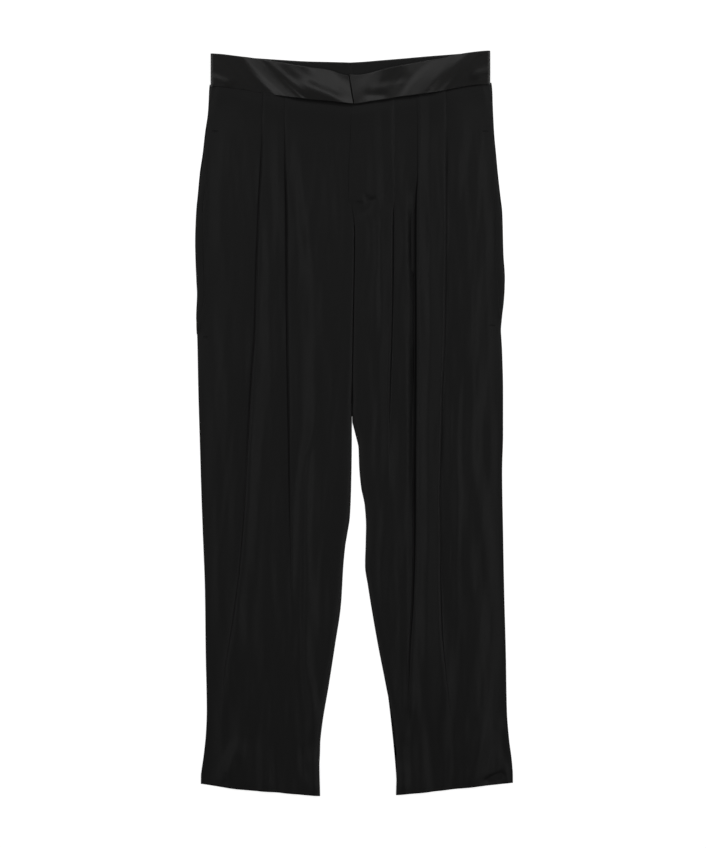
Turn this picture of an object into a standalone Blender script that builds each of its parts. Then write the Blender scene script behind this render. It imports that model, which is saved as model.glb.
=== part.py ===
"""Pleated trousers with a satin waistband, laid flat on their back, front side up.

Blender model in metres, +Z up. The waist is at +Y, the hems at -Y and the surface they lie on at z = 0.
Left and right are the wearer's, so the wearer's right leg is at -X.

The tables below are in millimetres. "down" is the distance below the highest point of the waistband and
"out" the distance from the middle of the garment towards that leg's side seam.
"""

from collections import namedtuple

import bpy
import numpy as np

MM = 0.001

# Whole garment
MIDDLE = 506.59  # down of the garment's middle
CLOTH = 1.0  # wall of the leg cloth
SEAM = 0.5  # gap between pieces that are sewn edge to edge
LAYER = 0.3  # gap between pieces that lie on each other
LEG_MIDDLE = 110.0  # out of the line down the middle of a leg

# Waistband
BAND_WIDTH = 43.5
BAND_WALL = 1.8
BACK_BAND_WALL = 1.4
FACING_WALL = 1.0
FACING_INSET = 0.6  # how far the facing stands back from the back band's edges
FACING_TOP = BACK_BAND_WALL + LAYER + FACING_WALL
SLIT_TOP = -6.9  # x of the slit between the front bands, which leans
SLIT_BOTTOM = -0.3
SLIT_GAP = 1.0
BAND_OVER_FACING = 0.5  # space under a front band's top edge
BAND_OVER_FRONT = 1.2  # how far its lower edge stands above the front
BAND_SIDE_EASE = 20.0  # distance from the side over which its ripples fade out

# Heights of the underside of the front, above the floor
BED_WAIST = 3.2
BED_HIP = 4.1
BED_LEG = 2.7
BED_EDGE = CLOTH + 0.4
BED_POCKET = 2 * CLOTH + LAYER + 0.4
EDGE_ROLL = 14.0  # width over which the cloth rolls down to a side seam or inseam
BETWEEN_FOLDS = 2.5
WAIST_RISE = 16.0  # distance below the waist seam over which the front comes up to its full height

# Fly, at the centre front
FLY_BOTTOM = 208.0
LAP_WIDTH = 44.0  # the left front's lap over the fly, which stands a little higher
LAP_RISE = 0.8
LAP_SLOPE = 6.0
SHIELD_RIGHT = -16.0  # x of the shield's two sides
SHIELD_LEFT = 25.0
SHIELD_TOP = 62.0
SHIELD_CURVE = 30.0  # height of its curved lower corner
ZIP_RIGHT = -13.0
ZIP_LEFT = 11.0
ZIP_TOP = 86.0
ZIP_BOTTOM = FLY_BOTTOM - 14
ZIP_WALL = 1.0

# Side pockets
POCKET_TOP = 66.0
POCKET_BOTTOM = 384.0
POCKET_WIDTH = 150.0
POCKET_CORNER = 60.0
POCKET_SEAM = 0.4  # how far the bag stays inside the side seam
POCKET_SLANT = 10.0  # how much narrower it is at the top

# Down, from and to, where the front changes height
LAP_ENDS = (FLY_BOTTOM - 14, FLY_BOTTOM + 2)
CENTRE_SEAM_SINKS = (FLY_BOTTOM + 8, FLY_BOTTOM + 40)
POCKET_ENDS = (POCKET_BOTTOM + 5, POCKET_BOTTOM + 30)
HIP_ENDS = (POCKET_BOTTOM + 15, POCKET_BOTTOM + 120)
LAYERS_OPEN = (70, 130)  # the pleats' layers, pressed together at the waist seam

# Colours, from the photograph, as linear values
CREPE_BLACK = (0.0085, 0.0085, 0.0085)
SATIN_BLACK = (0.010, 0.0095, 0.009)
TAPE_BLACK = (0.007, 0.007, 0.007)

Place = namedtuple("Place", "down out")
Across = namedtuple("Across", "out down")
# A fold's row: where its crest or crease lies, how deep the pleat laps (depth), how far it is still folded
# over itself (knife, 1 to 0), and how high it stands once it has opened (rise).
Pleat = namedtuple("Pleat", "down out depth knife rise")
Ridge = namedtuple("Ridge", "down out rise width")
Leg = namedtuple("Leg", "name sign side inseam waist back_waist hem mouth folds")

RIGHT_SIDE = [
    Place(46, 195), Place(60, 197), Place(92, 199), Place(120, 203), Place(147, 206), Place(174, 210),
    Place(201, 212.5), Place(228, 215), Place(269, 216.4), Place(310, 215), Place(337, 213.8),
    Place(371, 215), Place(399, 213.5), Place(473, 212), Place(541, 210), Place(609, 208), Place(664, 206),
    Place(745, 203), Place(827, 202), Place(908, 200.5), Place(936, 201.5), Place(963, 204),
    Place(996, 208.5),
]
# The legs touch from the fly down to here, and then part
CENTRE_FRONT = [
    Place(70, -0.6), Place(110, -2.2), Place(150, -4.5), Place(195, -4.3), Place(214, -0.8), Place(238, 0.8),
    Place(360, -0.9), Place(490, -2.7),
]
CENTRE_BACK = [Place(10, -4.8), Place(60, -4.8), Place(300, -1.2), Place(490, -2.7)]
RIGHT_INSEAM = [
    Place(528, 2.95), Place(582, 3.8), Place(623, 5.5), Place(650, 9.5), Place(664, 11.8),
    Place(691, 14.4), Place(745, 17.7), Place(800, 25.7), Place(854, 34), Place(908, 43), Place(936, 46),
    Place(963, 47), Place(1013, 46),
]
LEFT_SIDE = [
    Place(44, 185), Place(60, 188), Place(92, 189.5), Place(120, 191), Place(147, 193.5), Place(174, 196),
    Place(201, 199), Place(228, 202), Place(283, 203.5), Place(317, 205.5), Place(337, 204.5),
    Place(364, 201.5), Place(385, 200), Place(419, 201.7), Place(473, 203), Place(528, 203),
    Place(582, 201.7), Place(664, 203), Place(745, 204.5), Place(827, 206.7), Place(908, 208.2),
    Place(949, 211.3), Place(976, 214.8), Place(995, 216.3),
]
LEFT_INSEAM = [
    Place(501, -0.2), Place(514, 3.0), Place(528, 6), Place(555, 7), Place(582, 9.5), Place(609, 14.6),
    Place(637, 16.3), Place(664, 15.8), Place(691, 15), Place(718, 18.8), Place(745, 23), Place(800, 32.5),
    Place(854, 43), Place(908, 53), Place(936, 56.6), Place(963, 58), Place(1012, 57),
]
RIGHT_WAIST = [
    Across(-10, 72.5), Across(6, 71.4), Across(19, 70.2), Across(29, 68.7), Across(60, 66), Across(80, 63.4),
    Across(101, 60.5), Across(121, 57), Across(142, 53), Across(162, 50.3), Across(180, 48), Across(196, 47),
]
LEFT_WAIST = [
    Across(-10, 72.5), Across(4, 71.5), Across(22, 68.5), Across(49, 64.7), Across(63, 62.3),
    Across(83, 59.8), Across(103, 56.7), Across(124, 53), Across(144, 48.8), Across(165, 45.8),
    Across(188, 44),
]
RIGHT_BACK_WAIST = [
    Across(-8, 59.2), Across(29, 58.2), Across(60, 57.5), Across(101, 55.2), Across(142, 52.3),
    Across(180, 49.2), Across(196, 46.4),
]
LEFT_BACK_WAIST = [
    Across(-8, 59), Across(11, 58), Across(35, 56), Across(63, 53.7), Across(103, 50.2), Across(144, 47),
    Across(165, 44.9), Across(188, 43.5),
]
RIGHT_HEM = [Across(40, 1013), Across(68, 1011), Across(101, 1008), Across(155, 1003.5), Across(209, 996)]
LEFT_HEM = [Across(50, 1012), Across(98, 1007.5), Across(131, 1003.5), Across(163, 1000), Across(218, 994.5)]

# How far the front's edge stands back from the side seam where the pocket mouth gapes
RIGHT_MOUTH = [
    Place(66, 0), Place(110, 1), Place(180, 11), Place(220, 9), Place(270, 11.5), Place(350, 10),
    Place(392, 0),
]
LEFT_MOUTH = [
    Place(66, 0), Place(150, 1), Place(200, 8), Place(230, 10.5), Place(300, 11), Place(340, 8),
    Place(376, 0),
]

RIGHT_FOLDS = [
    [
        Ridge(60, 48, 0.0, 13), Ridge(240, 54, 0.4, 13), Ridge(300, 57, 2.2, 14), Ridge(400, 60, 3.2, 15),
        Ridge(530, 62, 2.8, 15), Ridge(660, 68, 2.4, 14), Ridge(780, 70, 1.8, 13), Ridge(850, 64, 1.2, 12),
        Ridge(910, 62, 0.0, 8), Ridge(1013, 68, 0.0, 8),
    ],
    [
        Pleat(60, 96, 16, 1, 3.8), Pleat(208, 95.2, 13, 1, 3.8), Pleat(371, 94, 8, 1, 3.8),
        Pleat(453, 92.6, 5.5, 1, 3.6), Pleat(534, 91, 4, 0.85, 3.4), Pleat(616, 88.5, 3, 0.35, 2.8),
        Pleat(698, 86, 3, 0, 1.4), Pleat(780, 86, 3, 0, 0), Pleat(1013, 92, 3, 0, 0),
    ],
    [
        Pleat(60, 125, 13, 1, 3.8), Pleat(120, 126.5, 12, 1, 3.8), Pleat(208, 132, 9, 1, 3.8),
        Pleat(300, 135.5, 7, 1, 3.8), Pleat(371, 137, 5.5, 0.9, 4.0), Pleat(453, 142, 4, 0.6, 4.2),
        Pleat(534, 146, 3, 0.3, 4.0), Pleat(616, 149, 3, 0.1, 3.6), Pleat(698, 155, 3, 0, 3.0),
        Pleat(780, 165, 3, 0, 2.4), Pleat(860, 177, 3, 0, 1.4), Pleat(925, 180, 3, 0, 0),
        Pleat(1013, 180, 3, 0, 0),
    ],
]
LEFT_FOLDS = [
    [
        Ridge(60, 38, 0.0, 10), Ridge(200, 44, 0.0, 10), Ridge(230, 46, 2.6, 10), Ridge(330, 44, 2.6, 11),
        Ridge(420, 42, 1.6, 12), Ridge(500, 42, 0.0, 12), Ridge(690, 44, 0.0, 10), Ridge(800, 66, 0.0, 8),
        Ridge(850, 76, 0.5, 8), Ridge(900, 72, 1.8, 9), Ridge(950, 74, 1.6, 9), Ridge(1013, 76, 0.6, 9),
    ],
    [
        Pleat(60, 83.5, 16, 1, 3.8), Pleat(150, 85.5, 13, 1, 3.8), Pleat(208, 85.7, 10, 1, 4.2),
        Pleat(300, 84.5, 8, 1, 4.6), Pleat(371, 84.3, 6.5, 1, 4.8), Pleat(453, 83.5, 5, 0.9, 4.8),
        Pleat(534, 82.3, 4, 0.7, 4.8), Pleat(616, 80.2, 3.5, 0.5, 4.6), Pleat(698, 79, 3, 0.35, 4.2),
        Pleat(780, 77.5, 3, 0.15, 3.0), Pleat(850, 86, 3, 0, 0.8), Pleat(900, 96, 3, 0, 0),
        Pleat(1013, 104, 3, 0, 0),
    ],
    [
        Ridge(60, 95, 0.0, 5), Ridge(170, 96.5, 0.0, 5), Ridge(240, 97, 2.2, 6), Ridge(330, 98, 2.6, 7),
        Ridge(480, 97, 2.4, 9), Ridge(640, 95, 2.2, 9), Ridge(760, 94, 1.6, 9), Ridge(830, 99, 0.6, 6),
        Ridge(900, 112, 0.0, 5), Ridge(1013, 119, 0.0, 5),
    ],
    [
        Pleat(60, 127, 13, 1, 3.8), Pleat(135, 129.5, 12, 1, 3.8), Pleat(240, 131, 9, 1, 3.8),
        Pleat(300, 129.5, 8, 1, 3.8), Pleat(371, 128, 6.5, 1, 3.8), Pleat(453, 124.5, 5, 0.9, 4.0),
        Pleat(534, 122, 4, 0.6, 4.0), Pleat(616, 119.5, 3, 0.35, 4.0), Pleat(698, 118.5, 3, 0.2, 3.4),
        Pleat(780, 118, 3, 0, 2.6), Pleat(870, 130, 3, 0, 1.2), Pleat(920, 134, 3, 0, 0),
        Pleat(1013, 138, 3, 0, 0),
    ],
    [
        Ridge(60, 150, 0.0, 8), Ridge(420, 146, 0.0, 7), Ridge(480, 143, 1.6, 8), Ridge(640, 141, 2.2, 8),
        Ridge(720, 141, 1.6, 8), Ridge(790, 144, 0.0, 8), Ridge(910, 172, 0.0, 8), Ridge(950, 186, 1.6, 9),
        Ridge(985, 178, 1.8, 9), Ridge(1013, 170, 0.6, 9),
    ],
]

RIGHT_LEG = Leg(
    name="right",
    sign=-1,
    side=RIGHT_SIDE,
    inseam=RIGHT_INSEAM,
    waist=RIGHT_WAIST,
    back_waist=RIGHT_BACK_WAIST,
    hem=RIGHT_HEM,
    mouth=RIGHT_MOUTH,
    folds=RIGHT_FOLDS,
)
LEFT_LEG = Leg(
    name="left",
    sign=1,
    side=LEFT_SIDE,
    inseam=LEFT_INSEAM,
    waist=LEFT_WAIST,
    back_waist=LEFT_BACK_WAIST,
    hem=LEFT_HEM,
    mouth=LEFT_MOUTH,
    folds=LEFT_FOLDS,
)

# Where the rows of a front lie, as shares of the way from its waist seam to its hem
ROWS = [
    0.0, 0.014, 0.035, 0.065, 0.1, 0.14, 0.18, 0.22, 0.26, 0.3, 0.335, 0.37, 0.41, 0.455, 0.5, 0.545, 0.59,
    0.63, 0.67, 0.715, 0.76, 0.805, 0.85, 0.89, 0.93, 0.965, 1.0,
]

PLEAT_RAMP = 13.0  # width over which the cloth comes up to a pleat's top layer
PLEAT_LAYER_WAIST = 1.35  # from one of its layers to the next, pressed at the waist seam
PLEAT_LAYER = 1.9
PLEAT_WIDTH = 11.0  # half the width of the ridge that it opens into

# Where the rows of a front waistband lie, as shares of the way from its top edge to the waist seam
BAND_ROWS = (0.0, 0.25, 0.5, 0.75, 1.0)
BAND_STEPS = 17
# Soft ripples of the satin: where one lies along the band, its width and rise, and how far it leans
Ripple = namedtuple("Ripple", "out width rise lean")
RIPPLES = {
    "right": [
        Ripple(22, 14, 1.2, 0.5), Ripple(66, 15, 0.9, -0.4), Ripple(112, 16, 1.3, -0.8),
        Ripple(168, 16, 1.2, 0.6),
    ],
    "left": [
        Ripple(10, 10, 1.0, 0.3), Ripple(48, 12, 0.9, -0.3), Ripple(92, 16, 1.2, 0.6),
        Ripple(150, 16, 1.2, 0.8),
    ],
}


def ease(value, start, end):
    """0 before start, 1 after end, and smooth between."""
    share = np.clip((value - start) / (end - start), 0, 1)
    return share * share * (3 - 2 * share)


def follow(rows, at, column=1):
    """The value in a column, on a smooth curve through the table's rows, without overshoot."""
    places = np.array([row[0] for row in rows], float)
    values = np.array([row[column] for row in rows], float)
    at = min(max(at, places[0]), places[-1])
    k = min(max(int(np.searchsorted(places, at)) - 1, 0), len(places) - 2)
    steps = np.diff(places)
    slopes = np.diff(values) / steps

    def tangent(i):
        if i in (0, len(values) - 1):
            return slopes[min(i, len(slopes) - 1)]
        before, after = slopes[i - 1], slopes[i]
        return 0.0 if before * after <= 0 else 2 * before * after / (before + after)

    t = (at - places[k]) / steps[k]
    start, end = tangent(k) * steps[k], tangent(k + 1) * steps[k]
    rise = values[k + 1] - values[k]
    return values[k] + t * (start + t * (3 * rise - 2 * start - end + t * (start + end - 2 * rise)))


def rolled(distance, width=EDGE_ROLL):
    """A quarter-round rise from 0 at an edge to 1 at the given width inside it."""
    share = np.clip(distance / width, 0, 1)
    return np.sqrt(1 - (1 - share) ** 2)


def inner_edge(leg, centre, down):
    """Where a leg's inner edge lies: along the centre seam while the legs touch, then along its inseam."""
    seam = [Place(row.down, leg.sign * row.out + SEAM / 2) for row in centre]
    return follow(seam + leg.inseam, down)


def front_side(leg, down):
    """Where the front's edge lies, stood back from the side seam at the pocket mouth."""
    return follow(leg.side, down) - follow(leg.mouth, down)


def lap_share(below_waist, down):
    """1 beside the fly, and 0 at the waist seam and below the fly."""
    return ease(below_waist, 0, WAIST_RISE) * (1 - ease(down, *LAP_ENDS))


def bed(leg, out, down):
    """Height of the front's underside above the floor, without its folds."""
    below_waist = down - follow(leg.waist, out)
    middle = BED_WAIST + (BED_HIP - BED_WAIST) * ease(below_waist, 0, WAIST_RISE)
    middle += (BED_LEG - BED_HIP) * ease(down, *HIP_ENDS)
    at_side = BED_POCKET + (BED_EDGE - BED_POCKET) * ease(down, *POCKET_ENDS)
    at_side += (BED_WAIST - BED_POCKET) * (1 - ease(below_waist, 0, WAIST_RISE))
    at_inner = middle + (BED_EDGE - middle) * ease(down, *CENTRE_SEAM_SINKS)
    if leg.sign > 0:
        middle += LAP_RISE * (1 - ease(out, LAP_WIDTH - LAP_SLOPE, LAP_WIDTH)) * lap_share(below_waist, down)
    from_side = rolled(front_side(leg, down) - out)
    from_inner = rolled(out - inner_edge(leg, CENTRE_FRONT, down))
    return middle - (middle - at_side) * (1 - from_side) - (middle - at_inner) * (1 - from_inner)


def pleat_points(rows, down):
    """(out, height above the bed) along the cloth of a pleat, from the centre front towards the side.

    Folded, the cloth comes up a ramp, turns under at the crease that shows, runs back, turns at the inner
    crease and goes on below. Opened, it is a ridge. The table says how much of each it is at this row.
    """
    out, depth, knife, rise = (follow(rows, down, column) for column in (1, 2, 3, 4))
    layer = PLEAT_LAYER_WAIST + (PLEAT_LAYER - PLEAT_LAYER_WAIST) * ease(down, *LAYERS_OPEN)
    turn = layer / 2
    folded = [
        (-depth - PLEAT_RAMP, 0), (-depth - PLEAT_RAMP / 2, layer), (-depth, 2 * layer), (-turn, 2 * layer),
        (0, 1.5 * layer), (-turn, layer), (turn - depth, layer), (-depth, 0.5 * layer), (turn - depth, 0),
        (0, 0), (2.5, 0),
    ]
    opened = [
        (-1.5, 0), (-0.9, 0.4), (-0.4, 0.85), (-0.1, 1.0), (0.1, 0.96), (0.25, 0.82), (0.38, 0.62),
        (0.5, 0.42), (0.62, 0.25), (0.78, 0.1), (1.0, 0),
    ]
    return [
        (out + knife * a + (1 - knife) * PLEAT_WIDTH * b, knife * p + (1 - knife) * rise * q)
        for (a, p), (b, q) in zip(folded, opened)
    ]


def ridge_points(rows, down):
    """(out, height above the bed) over a soft ridge."""
    out, rise, width = (follow(rows, down, column) for column in (1, 2, 3))
    return [(out + share * width, rise * (1 + np.cos(np.pi * share)) / 2) for share in (-1, -0.5, 0, 0.5, 1)]


def edge_steps(length):
    """Distances inside an edge that follow its roll, within the length that is free there."""
    return [min(step, length * share) for step, share in ((0, 0), (1.5, 0.2), (5, 0.5), (EDGE_ROLL, 0.9))]


def drawn_to(points, crest, share, side):
    """Points with those beyond the crest, on this side of it, drawn in towards it."""
    moved = []
    for out, fold in points:
        beyond = (out - crest) * side > 0
        moved.append((crest + (out - crest) * share if beyond else out, fold))
    return moved


def fold_points(rows, down):
    return pleat_points(rows, down) if isinstance(rows[0], Pleat) else ridge_points(rows, down)


def across(leg, down):
    """(out, height above the bed) of each point of the front's section, from its inner edge to its side."""
    crests = [follow(rows, down) for rows in leg.folds]
    folds = [fold_points(rows, down) for rows in leg.folds]
    for k in range(len(folds) - 1):
        room = crests[k + 1] - crests[k] - BETWEEN_FOLDS
        wanted = folds[k][-1][0] - crests[k] + crests[k + 1] - folds[k + 1][0][0]
        share = min(1, room / wanted)
        folds[k] = drawn_to(folds[k], crests[k], share, 1)
        folds[k + 1] = drawn_to(folds[k + 1], crests[k + 1], share, -1)
    points = [point for fold in folds for point in fold]
    inner = inner_edge(leg, CENTRE_FRONT, down)
    side = front_side(leg, down)
    inner_steps = [(inner + step, 0) for step in edge_steps(points[0][0] - inner)]
    side_steps = [(side - step, 0) for step in edge_steps(side - points[-1][0])]
    return inner_steps + points + side_steps[::-1]


def down_at(leg, share, out, waist):
    """How far down a row lies at this out: along the waist seam at share 0, and along the hem at 1."""
    return (1 - share) * (follow(waist, out) + SEAM / 2) + share * follow(leg.hem, out)


def place(leg, out, down, height):
    """A point of a leg in the garment's own frame, in metres."""
    return (leg.sign * out * MM, (MIDDLE - down) * MM, height * MM)


def material(name, colour, roughness, sheen=0.0):
    made = bpy.data.materials.new(name)
    made.use_nodes = True
    shader = made.node_tree.nodes["Principled BSDF"]
    shader.inputs["Base Color"].default_value = (*colour, 1)
    shader.inputs["Roughness"].default_value = roughness
    shader.inputs["Metallic"].default_value = 0.0
    shader.inputs["Sheen Weight"].default_value = sheen
    return made


def add(name, data, finish, collection):
    piece = bpy.data.objects.new(name, data)
    data.materials.append(finish)
    collection.objects.link(piece)
    return piece


def loft(name, sections, wall, finish, collection, flip):
    """A wall of cloth through sections of points, each with as many points, centred on them."""
    count = len(sections[0])
    points = [point for section in sections for point in section]
    faces = []
    for row in range(len(sections) - 1):
        for k in range(count - 1):
            a = row * count + k
            quad = (a, a + 1, a + count + 1, a + count)
            faces.append(quad[::-1] if flip else quad)
    mesh = bpy.data.meshes.new(name)
    mesh.from_pydata(points, [], faces)
    mesh.shade_smooth()
    piece = add(name, mesh, finish, collection)
    thicken = piece.modifiers.new("Wall", "SOLIDIFY")
    thicken.thickness = wall * MM
    thicken.offset = 0
    thicken.use_even_offset = True
    return piece


def flat_piece(name, outline, bottom, wall, finish, collection):
    """A flat piece of cloth with this outline of (x, down), from bottom up to bottom + wall."""
    curve = bpy.data.curves.new(name, "CURVE")
    curve.dimensions = "2D"
    curve.fill_mode = "BOTH"
    curve.extrude = wall / 2 * MM
    spline = curve.splines.new("POLY")
    spline.points.add(len(outline) - 1)
    for point, (x, down) in zip(spline.points, outline):
        point.co = (x * MM, (MIDDLE - down) * MM, 0, 1)
    spline.use_cyclic_u = True
    piece = add(name, curve, finish, collection)
    piece.location.z = (bottom + wall / 2) * MM
    return piece


def build_front(leg, finish, collection):
    """One front, from the waist seam to the hem, with its pleats and folds."""
    sections = []
    for share in ROWS:
        middle = down_at(leg, share, LEG_MIDDLE, leg.waist)
        points = []
        for out, fold in across(leg, middle):
            down = down_at(leg, share, out, leg.waist)
            points.append(place(leg, out, down, bed(leg, out, down) + CLOTH / 2 + fold))
        sections.append(points)
    return loft(f"front_{leg.name}", sections, CLOTH, finish, collection, leg.sign > 0)


def side_line(leg, start, end, step):
    """(out, down) along a side seam from start to end, about one step apart."""
    count = max(2, round(abs(end - start) / step) + 1)
    return [(follow(leg.side, down), down) for down in np.linspace(start, end, count)]


def build_back(leg, finish, collection):
    """One back, flat on the floor, from the back waist seam to the hem."""
    step, waist_steps, inner_steps = 30, 8, 32
    below_waist = 12
    centre_waist = leg.back_waist[0].down
    outs = np.linspace(inner_edge(leg, CENTRE_BACK, centre_waist), leg.side[0].out, waist_steps)
    waist = [(out, follow(leg.back_waist, out) + SEAM / 2) for out in outs]
    side = side_line(leg, waist[-1][1] + below_waist, leg.hem[-1].down, step)
    hem = [(out, follow(leg.hem, out)) for out in (LEG_MIDDLE * 1.5, LEG_MIDDLE)]
    downs = np.linspace(leg.hem[0].down, centre_waist + step, inner_steps)
    inner = [(inner_edge(leg, CENTRE_BACK, down), down) for down in downs]
    outline = [(leg.sign * out, down) for out, down in waist + side + hem + inner]
    return flat_piece(f"back_{leg.name}", outline, 0, CLOTH, finish, collection)


def band_edge(leg, out):
    """Down of the front waistband's lower edge."""
    return follow(leg.waist, out) - SEAM / 2


def ripple_height(leg, out, share):
    """How high the satin's ripples stand at this place of a front waistband."""
    height = 0
    for ripple in RIPPLES[leg.name]:
        away = out - ripple.out - ripple.lean * BAND_WIDTH * (share - 0.5)
        height += ripple.rise * np.exp(-((away / ripple.width) ** 2))
    return height


def build_front_band(leg, finish, collection):
    """One front waistband, from the centre front to the side, of even width along the waist seam."""
    end = leg.side[0].out
    at_top, at_seam = FACING_TOP + BAND_OVER_FACING, BED_WAIST + BAND_OVER_FRONT
    sections = []
    for share in BAND_ROWS:
        points = []
        slit = leg.sign * (SLIT_TOP + (SLIT_BOTTOM - SLIT_TOP) * share) + SLIT_GAP / 2
        for out in np.linspace(slit, end, BAND_STEPS):
            down = band_edge(leg, out) - BAND_WIDTH * (1 - share)
            height = at_top + (at_seam - at_top) * share
            height += ripple_height(leg, out, share) * ease(end - out, 0, BAND_SIDE_EASE)
            points.append(place(leg, out, down, height + BAND_WALL / 2))
        sections.append(points)
    return loft(f"waistband_front_{leg.name}", sections, BAND_WALL, finish, collection, leg.sign > 0)


def band_outline(leg, inset):
    """Outline of half the back waistband, as (x, down), drawn in from its edges by inset."""
    steps = 9
    centre = inner_edge(leg, CENTRE_BACK, CENTRE_BACK[0].down)
    outs = np.linspace(centre, leg.side[0].out - inset, steps)
    lower = [(out, follow(leg.back_waist, out) - SEAM / 2 - inset) for out in outs]
    upper = [(out, follow(leg.back_waist, out) - BAND_WIDTH + inset) for out in outs[::-1]]
    return [(leg.sign * out, down) for out, down in lower + upper]


def build_back_band(leg, satin, facing, collection):
    """Half the back waistband, and the facing inside it that shows above the front."""
    name = f"waistband_back_{leg.name}"
    flat_piece(name, band_outline(leg, 0), 0, BACK_BAND_WALL, satin, collection)
    name = f"waistband_facing_{leg.name}"
    bottom = BACK_BAND_WALL + LAYER
    flat_piece(name, band_outline(leg, FACING_INSET), bottom, FACING_WALL, facing, collection)


def build_pocket(leg, finish, collection):
    """The pocket's inner layer, whose edge shows where the mouth gapes at the side seam."""
    step, corner_steps = 26, 5
    side = side_line(leg, POCKET_TOP, POCKET_BOTTOM, step)
    edge = side[-1][0] - POCKET_WIDTH
    outline = [(out - POCKET_SEAM, down) for out, down in side]
    for angle in np.linspace(0, np.pi / 2, corner_steps):
        out = edge + POCKET_CORNER * (1 - np.sin(angle))
        outline.append((out, POCKET_BOTTOM - POCKET_CORNER * (1 - np.cos(angle))))
    outline.append((edge + POCKET_SLANT, POCKET_TOP))
    outline = [(leg.sign * out, down) for out, down in outline]
    return flat_piece(f"pocket_bag_{leg.name}", outline, CLOTH + LAYER, CLOTH, finish, collection)


def build_fly(cloth, tape, collection):
    """The shield behind the fly, and the closed zip that lies on it under the lap."""
    corner = SHIELD_CURVE * (1 - np.cos(np.pi / 4))
    shield = [
        (SHIELD_RIGHT, SHIELD_TOP),
        (SHIELD_LEFT, SHIELD_TOP),
        (SHIELD_LEFT, FLY_BOTTOM - SHIELD_CURVE),
        (SHIELD_LEFT - corner, FLY_BOTTOM - corner),
        (SHIELD_LEFT - SHIELD_CURVE, FLY_BOTTOM),
        (SHIELD_RIGHT, FLY_BOTTOM),
    ]
    tapes = [
        (ZIP_RIGHT, ZIP_TOP),
        (ZIP_LEFT, ZIP_TOP),
        (ZIP_LEFT, ZIP_BOTTOM),
        (ZIP_RIGHT, ZIP_BOTTOM),
    ]
    shield_bottom = CLOTH + LAYER
    flat_piece("fly_shield", shield, shield_bottom, CLOTH, cloth, collection)
    flat_piece("fly_zip", tapes, shield_bottom + CLOTH + LAYER, ZIP_WALL, tape, collection)


def main():
    for old in list(bpy.data.objects):
        bpy.data.objects.remove(old)
    collection = bpy.data.collections.new("pleated_trousers")
    bpy.context.scene.collection.children.link(collection)
    crepe = material("black_crepe", CREPE_BLACK, roughness=0.6, sheen=0.15)
    satin = material("black_satin", SATIN_BLACK, roughness=0.35)
    tape = material("black_zip_tape", TAPE_BLACK, roughness=0.7)
    for leg in (RIGHT_LEG, LEFT_LEG):
        build_back(leg, crepe, collection)
        build_pocket(leg, crepe, collection)
        build_front(leg, crepe, collection)
        build_back_band(leg, satin, crepe, collection)
        build_front_band(leg, satin, collection)
    build_fly(crepe, tape, collection)


main()
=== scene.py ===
"""Pleated trousers with a satin waistband, laid flat on their back, front side up.

Left and right are the wearer's. In the tables, in millimetres, "down" is the distance below the highest
point of the waistband, and "out" the distance from the middle of the garment towards a leg's side seam.
"""

from collections import namedtuple

import bpy
import numpy as np
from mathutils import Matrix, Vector


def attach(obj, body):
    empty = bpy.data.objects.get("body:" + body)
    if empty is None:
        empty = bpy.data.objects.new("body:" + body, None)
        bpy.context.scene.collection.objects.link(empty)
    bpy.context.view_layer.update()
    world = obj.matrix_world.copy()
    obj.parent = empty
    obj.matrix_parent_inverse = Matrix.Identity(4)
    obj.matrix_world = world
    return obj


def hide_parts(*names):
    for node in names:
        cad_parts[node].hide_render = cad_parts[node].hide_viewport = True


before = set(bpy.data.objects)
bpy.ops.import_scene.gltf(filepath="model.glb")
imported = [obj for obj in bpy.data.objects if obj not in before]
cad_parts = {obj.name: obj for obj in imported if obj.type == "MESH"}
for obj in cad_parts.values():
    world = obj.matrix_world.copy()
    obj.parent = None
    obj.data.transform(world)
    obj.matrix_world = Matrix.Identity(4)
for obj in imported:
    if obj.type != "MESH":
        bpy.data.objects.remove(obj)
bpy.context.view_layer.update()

# Floor, light and camera. The trousers lie on a white surface that is seen straight from
# above, under long softboxes at both sides and at the head, with a low light at each side.
MM = 0.001
FLOOR_REACH = 15  # metres from the middle to the floor's edges
FLOOR_GAP = 0.3  # mm between the floor and the lowest cloth


def linear(colour):
    """The linear value of an sRGB colour, given as #rrggbb."""
    parts = [int(colour[k : k + 2], 16) / 255 for k in (1, 3, 5)]
    return [p / 12.92 if p <= 0.04045 else ((p + 0.055) / 1.055) ** 2.4 for p in parts] + [1.0]


def add_node(tree, kind, settings=(), links=()):
    """A shader node with its settings, and links from (input, node, output)."""
    made = tree.nodes.new(kind)
    for name, value in dict(settings).items():
        if name in made.inputs:
            made.inputs[name].default_value = value
        else:
            setattr(made, name, value)
    for name, source, output in links:
        tree.links.new(source.outputs[output], made.inputs[name])
    return made


def new_material(name, **settings):
    """A material, its nodes and its shader, with settings named as the shader's sockets."""
    made = bpy.data.materials.new(name)
    made.use_nodes = True
    shader = made.node_tree.nodes["Principled BSDF"]
    for key, value in settings.items():
        shader.inputs[key.replace("_", " ").title().replace("Ior", "IOR")].default_value = value
    return made, made.node_tree, shader


def new_object(name, data, material=None):
    """An object in the scene, with its material."""
    made = bpy.data.objects.new(name, data)
    bpy.context.scene.collection.objects.link(made)
    if material:
        data.materials.append(material)
    return made


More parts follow.
